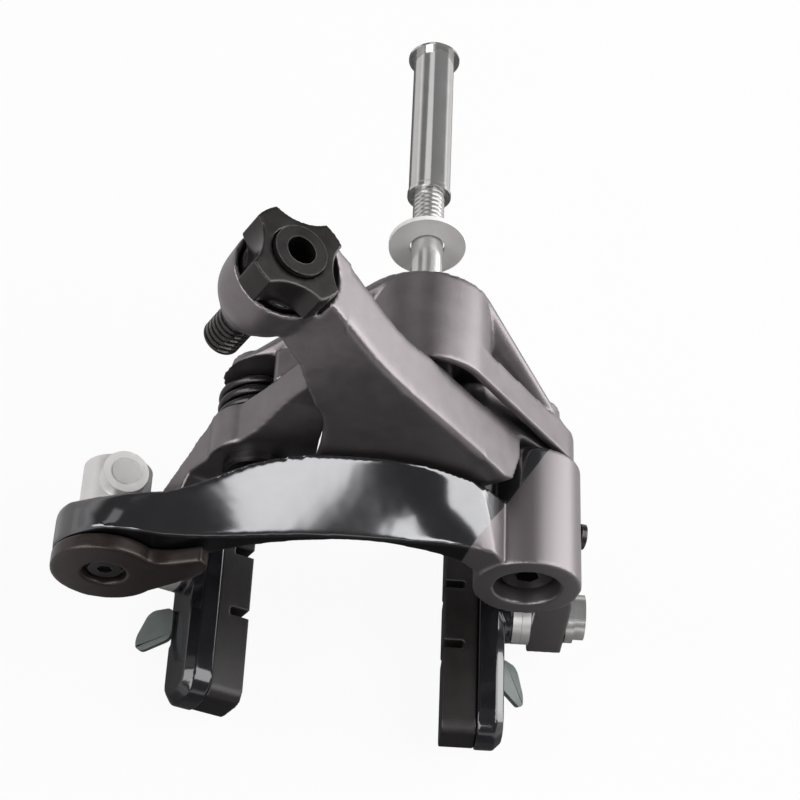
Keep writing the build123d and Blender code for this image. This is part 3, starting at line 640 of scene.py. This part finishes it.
@dataclass
class Part:
    """A new piece that takes the place of a CAD node."""

    node: str
    name: str
    body: str
    slot: Slot
    finish: Finish

    def merged_copy(self) -> bpy.types.Object:
        """A copy of the node with its loose triangles joined, to start the piece from."""
        piece = bpy.data.objects.new(self.name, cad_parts[self.node].data.copy())
        bpy.context.scene.collection.objects.link(piece)
        alone(piece)
        bpy.ops.object.mode_set(mode="EDIT")
        bpy.ops.mesh.select_all(action="SELECT")
        bpy.ops.mesh.remove_doubles(threshold=MERGE_GAP)
        bpy.ops.object.mode_set(mode="OBJECT")
        bpy.ops.mesh.customdata_custom_splitnormals_clear()
        return piece

    def finished(self, piece: bpy.types.Object, dresser: Dresser) -> bpy.types.Object:
        """Dresses a shaped piece and lets it ride on its body in place of the node.

        Args:
            piece: The piece.
            dresser: Gives the finish.

        Returns:
            The piece.
        """
        dresser.dress(piece, self.finish)
        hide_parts(self.node)
        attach(piece, self.body)
        return piece


@dataclass
class SoftenedPart(Part):
    """A forged or moulded part whose sharp CAD edges are rounded as a real one's are."""

    voxel: float = 0.40 * MM
    passes: int = 5
    polish_span: Span | None = None                     # along X, smoothed further
    polish_rounds: int = 1
    polish_passes: int = 22

    def build(self, dresser: Dresser) -> bpy.types.Object:
        """Makes the piece.

        Args:
            dresser: Gives the finish.

        Returns:
            The piece.
        """
        piece = self.merged_copy()
        apply_modifier(piece, "REMESH", {"mode": "VOXEL", "voxel_size": self.voxel,
                                         "use_smooth_shade": True})
        apply_modifier(piece, "SMOOTH", {"factor": SMOOTHING, "iterations": self.passes})
        if self.polish_span is not None:
            start, end = self.polish_span
            zone = "polished"
            chosen = [v.index for v in piece.data.vertices if start < v.co.x < end]
            piece.vertex_groups.new(name=zone).add(chosen, 1.0, "REPLACE")
            for _ in range(self.polish_rounds):
                apply_modifier(piece, "SMOOTH", {
                    "factor": SMOOTHING, "iterations": self.polish_passes,
                    "vertex_group": zone})
        return self.finished(piece, dresser)


@dataclass
class ThreadedPart(Part):
    """A turned part with a real thread cut along a part of its length."""

    foot: Point                   # where the thread starts, on the axis
    turn: Point                   # angles that turn +Z to the thread's way
    radius: float
    pitch: float
    length: float
    depth: float
    steps: int = 20               # steps in one turn
    seam: float = 1 * MICRON
    smooth_below: float = math.radians(32.0)

    def _groove(self) -> bpy.types.Object:
        """The helical solid that is cut away, wound about +Z and then put in place."""
        turns = math.ceil(self.length / self.pitch)
        bpy.ops.object.select_all(action="DESELECT")
        bpy.ops.mesh.primitive_circle_add(
            vertices=3, radius=self.depth, fill_type="NOTHING",
            location=(self.radius, 0.0, 0.0), rotation=(0.0, QUARTER_TURN, QUARTER_TURN))
        tool = bpy.context.active_object
        tool.name = f"{self.name}_groove"
        bpy.ops.object.transform_apply(location=True, rotation=True, scale=True)
        lowest = min(v.co.x for v in tool.data.vertices)
        for vertex in tool.data.vertices:
            vertex.co.x += self.radius - self.depth - lowest
        apply_modifier(tool, "SCREW", {
            "axis": "Z", "angle": 2.0 * math.pi, "screw_offset": self.pitch,
            "iterations": turns, "steps": self.steps, "render_steps": self.steps,
            "use_merge_vertices": True, "merge_threshold": self.seam})
        bpy.ops.object.mode_set(mode="EDIT")
        bpy.ops.mesh.select_all(action="SELECT")
        bpy.ops.mesh.remove_doubles(threshold=self.seam)
        bpy.ops.mesh.fill_holes(sides=0)
        bpy.ops.mesh.select_all(action="SELECT")
        bpy.ops.mesh.normals_make_consistent(inside=False)
        bpy.ops.object.mode_set(mode="OBJECT")
        set_down(tool, self.foot, self.turn)
        return tool

    def build(self, dresser: Dresser) -> bpy.types.Object:
        """Makes the piece and cuts its thread.

        Args:
            dresser: Gives the finish.

        Returns:
            The piece.
        """
        piece = self.merged_copy()
        tool = self._groove()
        apply_modifier(piece, "BOOLEAN",
                       {"operation": "DIFFERENCE", "solver": "EXACT", "object": tool})
        bpy.data.objects.remove(tool)
        alone(piece)
        bpy.ops.object.shade_smooth_by_angle(angle=self.smooth_below)
        return self.finished(piece, dresser)


@dataclass
class GuideLeaf(Part):
    """The flared leaf on the outer side of a shoe, which steers the wheel in."""

    way: float                    # -1 on the left, 1 on the right
    thickness: float = 0.9 * MM
    tilt: float = math.radians(42.0)
    rounding: float = 1.5 * MM
    rounding_steps: int = 6
    edge: float = 0.25 * MM
    edge_steps: int = 3
    smooth_below: float = math.radians(35.0)
    # Corners, outward and rearward from the leaf's middle.
    outline: tuple[Pair, ...] = (
        (-4.3 * MM, 3.9 * MM), (1.2 * MM, 4.1 * MM), (4.2 * MM, -1.6 * MM),
        (3.2 * MM, -4.2 * MM), (-4.3 * MM, -2.6 * MM))

    @staticmethod
    def _move_corner(piece: bpy.types.Object, index: int, place: Point) -> None:
        """Moves one corner of the flat outline.

        Args:
            piece: The outline.
            index: The corner.
            place: Where it goes.
        """
        bpy.ops.object.mode_set(mode="EDIT")
        bpy.ops.mesh.select_mode(type="VERT")
        bpy.ops.mesh.select_all(action="DESELECT")
        bpy.ops.object.mode_set(mode="OBJECT")
        corner = piece.data.vertices[index]
        corner.select = True
        away = Vector(place) - corner.co
        bpy.ops.object.mode_set(mode="EDIT")
        bpy.ops.transform.translate(value=away)
        bpy.ops.object.mode_set(mode="OBJECT")

    def build(self, dresser: Dresser) -> bpy.types.Object:
        """Makes the leaf.

        Args:
            dresser: Gives the finish.

        Returns:
            The piece.
        """
        low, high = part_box(self.node)
        bpy.ops.object.select_all(action="DESELECT")
        bpy.ops.mesh.primitive_circle_add(vertices=len(self.outline), radius=1.0,
                                          fill_type="NGON")
        piece = bpy.context.active_object
        piece.name = self.name
        for index, (outward, rearward) in enumerate(self.outline):
            self._move_corner(piece, index, (self.way * outward, rearward, 0.0))
        bpy.ops.object.mode_set(mode="EDIT")
        bpy.ops.mesh.select_all(action="SELECT")
        bpy.ops.mesh.bevel(offset=self.rounding, segments=self.rounding_steps,
                           affect="VERTICES")
        bpy.ops.mesh.select_all(action="SELECT")
        bpy.ops.mesh.extrude_region_move(
            TRANSFORM_OT_translate={"value": (0.0, 0.0, self.thickness)})
        bpy.ops.mesh.select_all(action="SELECT")
        bpy.ops.mesh.normals_make_consistent(inside=False)
        bpy.ops.object.mode_set(mode="OBJECT")
        apply_modifier(piece, "BEVEL", {"width": self.edge, "segments": self.edge_steps,
                                        "limit_method": "ANGLE"})
        set_down(piece, (low + high) / 2.0, (0.0, self.way * self.tilt, 0.0))
        bpy.ops.object.shade_smooth_by_angle(angle=self.smooth_below)
        return self.finished(piece, dresser)


@dataclass
class BracketGroup:
    """The bracket, its pivots and the mounting bolt."""

    bolt_radius: float = 3.0 * MM
    thread_pitch: float = 1.0 * MM
    thread_depth: float = 0.42 * MM
    thread_from: float = 17.5 * MM
    thread_to: float = 36.2 * MM

    def build(self, dresser: Dresser) -> list[bpy.types.Object]:
        """Builds and dresses the group.

        Args:
            dresser: Gives the finishes.

        Returns:
            The new pieces.
        """
        bracket = SoftenedPart("bracket", "bracket_forging", "bracket", Slot.SATIN_GREY,
                               ANODISED).build(dresser)
        bolt = ThreadedPart(
            "centre_bolt", "mounting_bolt_threaded", "bracket", Slot.STEEL, STEEL,
            foot=(0.0, self.thread_from, 0.0), turn=(-QUARTER_TURN, 0.0, 0.0),
            radius=self.bolt_radius, pitch=self.thread_pitch,
            length=self.thread_to - self.thread_from, depth=self.thread_depth).build(dresser)
        dresser.dress_nodes({
            "right_pivot_bolt": DARK_STEEL, "left_pivot_bolt": DARK_STEEL,
            "thrust_washers": NYLON, "left_return_spring": SPRING,
            "mounting_washer": WASHER_PLATING, "recessed_nut": NUT_STEEL})
        return [bracket, bolt]


@dataclass
class ArchGroup:
    """The right arm with its arch, the release lever and the cable anchor."""

    arch_voxel: float = 0.34 * MM
    arch_polish: Span = (-60.0 * MM, 14.0 * MM)
    lever_voxel: float = 0.24 * MM
    lever_passes: int = 14

    def build(self, dresser: Dresser) -> list[bpy.types.Object]:
        """Builds and dresses the group.

        Args:
            dresser: Gives the finishes.

        Returns:
            The new pieces.
        """
        arch = SoftenedPart(
            "right_arm", "arch_forging", "right_arm", Slot.GLOSS_BLACK, ARCH,
            voxel=self.arch_voxel, polish_span=self.arch_polish).build(dresser)
        lever = SoftenedPart(
            "release_lever", "release_lever_cap", "quick_release", Slot.SATIN_BLACK, LEVER,
            voxel=self.lever_voxel, passes=self.lever_passes).build(dresser)
        dresser.dress_nodes({
            "right_hub_bush": BRONZE, "right_spring_cup": NYLON,
            "right_return_spring": SPRING,
            "centring_screw": replace(DARK_STEEL, turned=Axis.X),
            "release_shaft": TURNED_STEEL, "release_bolt": DARK_STEEL,
            "cable_anchor": replace(SILVER, turned=Axis.Y), "cable_clamp_screw": STEEL})
        return [arch, lever]


@dataclass
class LeftArmGroup:
    """The left arm, its roller and the link arm above it."""

    link_passes: int = 7
    link_polish: Span = (-20.0 * MM, 12.0 * MM)
    link_rounds: int = 2

    def build(self, dresser: Dresser) -> list[bpy.types.Object]:
        """Builds and dresses the group.

        Args:
            dresser: Gives the finishes.

        Returns:
            The new pieces.
        """
        arm = SoftenedPart("left_arm", "left_arm_forging", "left_arm", Slot.SATIN_GREY,
                           ANODISED).build(dresser)
        link = SoftenedPart(
            "link_arm", "link_arm_forging", "link_arm", Slot.SATIN_GREY, ANODISED,
            passes=self.link_passes, polish_span=self.link_polish,
            polish_rounds=self.link_rounds).build(dresser)
        dresser.dress_nodes({
            "left_hub_bush": BRONZE, "link_bush": BRONZE,
            "roller": TURNED_STEEL, "roller_pin": TURNED_STEEL})
        return [arm, link]


@dataclass
class BarrelGroup:
    """The barrel adjuster: its knob and the threaded bolt that the cable housing enters."""

    foot: Point = (-38.0 * MM, -20.0 * MM, 9.0 * MM)
    lean: float = math.radians(15.7)
    bolt_radius: float = 3.5 * MM
    thread_pitch: float = 1.25 * MM
    thread_length: float = 11.0 * MM
    thread_depth: float = 0.55 * MM
    knob_voxel: float = 0.20 * MM
    knob_passes: int = 4

    def build(self, dresser: Dresser) -> list[bpy.types.Object]:
        """Builds and dresses the group.

        Args:
            dresser: Gives the finishes.

        Returns:
            The new pieces.
        """
        knob = SoftenedPart(
            "adjuster_knob", "knob_moulding", "adjuster_knob", Slot.SATIN_BLACK, SATIN,
            voxel=self.knob_voxel, passes=self.knob_passes).build(dresser)
        bolt = ThreadedPart(
            "adjusting_bolt", "adjusting_bolt_threaded", "adjusting_bolt", Slot.SATIN_BLACK,
            SATIN, foot=self.foot, turn=(0.0, self.lean, 0.0), radius=self.bolt_radius,
            pitch=self.thread_pitch, length=self.thread_length,
            depth=self.thread_depth).build(dresser)
        return [knob, bolt]


@dataclass
class ShoeGroup:
    """One shoe: pad, holder, wheel guide and the washers and bolt that clamp it."""

    side: Side
    pad_voxel: float = 0.24 * MM
    pad_passes: int = 3
    holder_voxel: float = 0.26 * MM
    holder_passes: int = 5

    def build(self, dresser: Dresser) -> list[bpy.types.Object]:
        """Builds and dresses the shoe.

        Args:
            dresser: Gives the finishes.

        Returns:
            The new pieces.
        """
        side = self.side.value
        body = f"{side}_shoe"
        pad = SoftenedPart(
            f"{side}_brake_pad", f"{side}_pad_compound", body, Slot.PAD_RUBBER, RUBBER,
            voxel=self.pad_voxel, passes=self.pad_passes).build(dresser)
        holder = SoftenedPart(
            f"{side}_shoe_holder", f"{side}_holder_casting", body, Slot.GLOSS_BLACK, LACQUER,
            voxel=self.holder_voxel, passes=self.holder_passes).build(dresser)
        guide = GuideLeaf(f"{side}_wheel_guide", f"{side}_guide_leaf", body,
                          Slot.GUIDE_GREY, GUIDE, self.side.way).build(dresser)
        dresser.dress_nodes({
            f"{side}_outer_washer": STEEL, f"{side}_shoe_bolt": STEEL,
            f"{side}_convex_washer": SILVER, f"{side}_concave_washer": SILVER})
        return [pad, holder, guide]


@dataclass(frozen=True)
class Lamp:
    """A soft lamp that looks at the brake."""

    name: str
    way: Point                    # the direction from the brake to it
    size: Pair                    # its width and height
    radiance: float               # how bright its face is, where 1 is white paper
    only_mirrored: bool = False   # it shows in polished faces and lights nothing else

    def hang(self, aim: Vector, distance: float) -> None:
        """Hangs the lamp.

        Args:
            aim: The point that it looks at.
            distance: How far from that point it hangs.
        """
        data = bpy.data.lights.new(self.name, "AREA")
        data.shape = "RECTANGLE"
        data.size, data.size_y = self.size
        data.energy = self.radiance * math.pi * self.size[0] * self.size[1]
        holder = bpy.data.objects.new(self.name, data)
        out = Vector(self.way).normalized()
        holder.location = aim + out * distance
        holder.rotation_euler = (-out).to_track_quat("-Z", "Y").to_euler()
        holder.visible_diffuse = not self.only_mirrored
        bpy.context.scene.collection.objects.link(holder)


@dataclass
class Studio:
    """The photographer's table: camera, floor, world and soft lamps."""

    camera_at: Point = (-0.07218, -0.21474, 0.29337)
    camera_turn: Point = (32.2666, -14.4893, 2.2447)    # in degrees
    lens: float = 90.0            # in millimetres, as Blender takes it
    sensor: float = 36.0
    nearest: float = 10.0 * MM
    floor_gap: float = 0.6 * MM
    floor_size: float = 6.0
    paper: tuple[Colour, Colour] = ((0.60, 0.59, 0.59), (0.64, 0.63, 0.63))
    fibres: Pattern = Pattern(40.0, 3.0)
    seen_white: float = 0.94      # share of white in what the camera sees of the floor
    # What a polished face sees of the floor: a glow with shade painted dim under the brake,
    # bright to both sides.
    # The span is of the squared distance from the middle.
    mirrored_floor: tuple[Colour, Colour] = ((0.09, 0.09, 0.09), (0.75, 0.73, 0.73))
    mirrored_span: Span = (0.0014, 0.0050)
    ceiling: Colour = (0.13, 0.13, 0.135)
    ceiling_span: Span = (0.04, 0.30)                   # height of a ray's way
    fill: Colour = (0.09, 0.09, 0.09)
    aim: Point = (0.0, -0.035, -0.008)
    lamp_distance: float = 1.1
    lamps: tuple[Lamp, ...] = (
        Lamp("softbox_left", (-0.85, -0.05, 0.50), (0.70, 0.70), 4.2),
        Lamp("softbox_top", (0.55, 0.05, 0.84), (1.20, 0.75), 4.4),
        Lamp("softbox_right", (0.88, 0.30, 0.30), (0.80, 0.80), 4.4),
        Lamp("strip_behind_brake", (-0.35, 0.65, 0.66), (0.50, 0.30), 0.8, True),
        Lamp("strip_behind_camera", (-0.50, -0.68, 0.55), (1.05, 0.50), 4.8, True))

    def camera(self) -> None:
        """Puts the camera where the photograph was taken from."""
        data = bpy.data.cameras.new("camera")
        data.lens = self.lens
        data.sensor_width = self.sensor
        data.clip_start = self.nearest
        holder = bpy.data.objects.new("camera", data)
        holder.location = self.camera_at
        holder.rotation_euler = Euler([math.radians(a) for a in self.camera_turn])
        bpy.context.scene.collection.objects.link(holder)
        bpy.context.scene.camera = holder

    def floor(self, lowest: float) -> None:
        """Lays the pale floor under the lowest piece.

        Args:
            lowest: Height of the lowest point of the object.
        """
        bpy.ops.object.select_all(action="DESELECT")
        bpy.ops.mesh.primitive_plane_add(
            size=self.floor_size, location=(0.0, 0.0, lowest - self.floor_gap))
        plane = bpy.context.active_object
        plane.name = "studio_floor"
        made = bpy.data.materials.new("floor_paper")
        made.use_nodes = True
        tree = Tree(made.node_tree)
        place = tree.place()
        colour = tree.blend(tree.noise(place, self.fibres), *self.paper)
        paper = tree.out(tree.node("ShaderNodeBsdfDiffuse", None, {"Color": colour}), "BSDF")
        # The floor's glow in mirrors, with painted shade that makes it dim under the brake.
        aside = tree.part(place, "X")
        mirrored_glow_painted_shade = tree.blend(tree.ramp(aside * aside, self.mirrored_span),
                           *self.mirrored_floor)
        path = tree.node("ShaderNodeLightPath")
        mirrored = tree.out(path, "Is Glossy Ray") + tree.out(path, "Is Transmission Ray")
        reflected = tree.mixed(mirrored.clamped(), paper, tree.glow(mirrored_glow_painted_shade))
        surface = tree.mixed(tree.out(path, "Is Camera Ray") * self.seen_white, reflected,
                             tree.glow(WHITE))
        tree.node("ShaderNodeOutputMaterial", None, {"Surface": surface})
        plane.data.materials.append(made)
        plane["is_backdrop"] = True

    def world(self) -> None:
        """Sets the world: white to the camera, a faint fill, and a dim ceiling in mirrors."""
        world = bpy.data.worlds.new("studio")
        bpy.context.scene.world = world
        world.use_nodes = True
        tree = Tree(world.node_tree)
        way = tree.out(tree.node("ShaderNodeTexCoord"), "Generated")
        dim = tree.ramp(tree.part(way, "Z"), self.ceiling_span)
        path = tree.node("ShaderNodeLightPath")
        unseen = tree.mixed(tree.out(path, "Is Diffuse Ray"),
                            tree.sky(tree.blend(dim, WHITE, self.ceiling)),
                            tree.sky(self.fill))
        surface = tree.mixed(tree.out(path, "Is Camera Ray"), unseen, tree.sky(WHITE))
        tree.node("ShaderNodeOutputWorld", None, {"Surface": surface})

    def build(self, lowest: float) -> None:
        """Sets up the whole studio.

        Args:
            lowest: Height of the lowest point of the object.
        """
        self.camera()
        self.floor(lowest)
        self.world()
        for lamp in self.lamps:
            lamp.hang(Vector(self.aim), self.lamp_distance)
        bpy.context.scene.view_settings.view_transform = "Standard"


def main() -> None:
    """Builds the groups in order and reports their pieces."""
    logging.basicConfig(level=logging.INFO, format="%(message)s")
    box_before = [list(corner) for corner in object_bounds()]
    dresser = Dresser()
    groups = [BracketGroup(), ArchGroup(), LeftArmGroup(), BarrelGroup(),
              ShoeGroup(Side.RIGHT), ShoeGroup(Side.LEFT)]
    for group in groups:
        for piece in group.build(dresser):
            log.info("piece %s, %d faces", piece.name, len(piece.data.polygons))
    lowest = box_before[0][2]
    Studio().build(lowest)


if __name__ == "__main__":
    main()
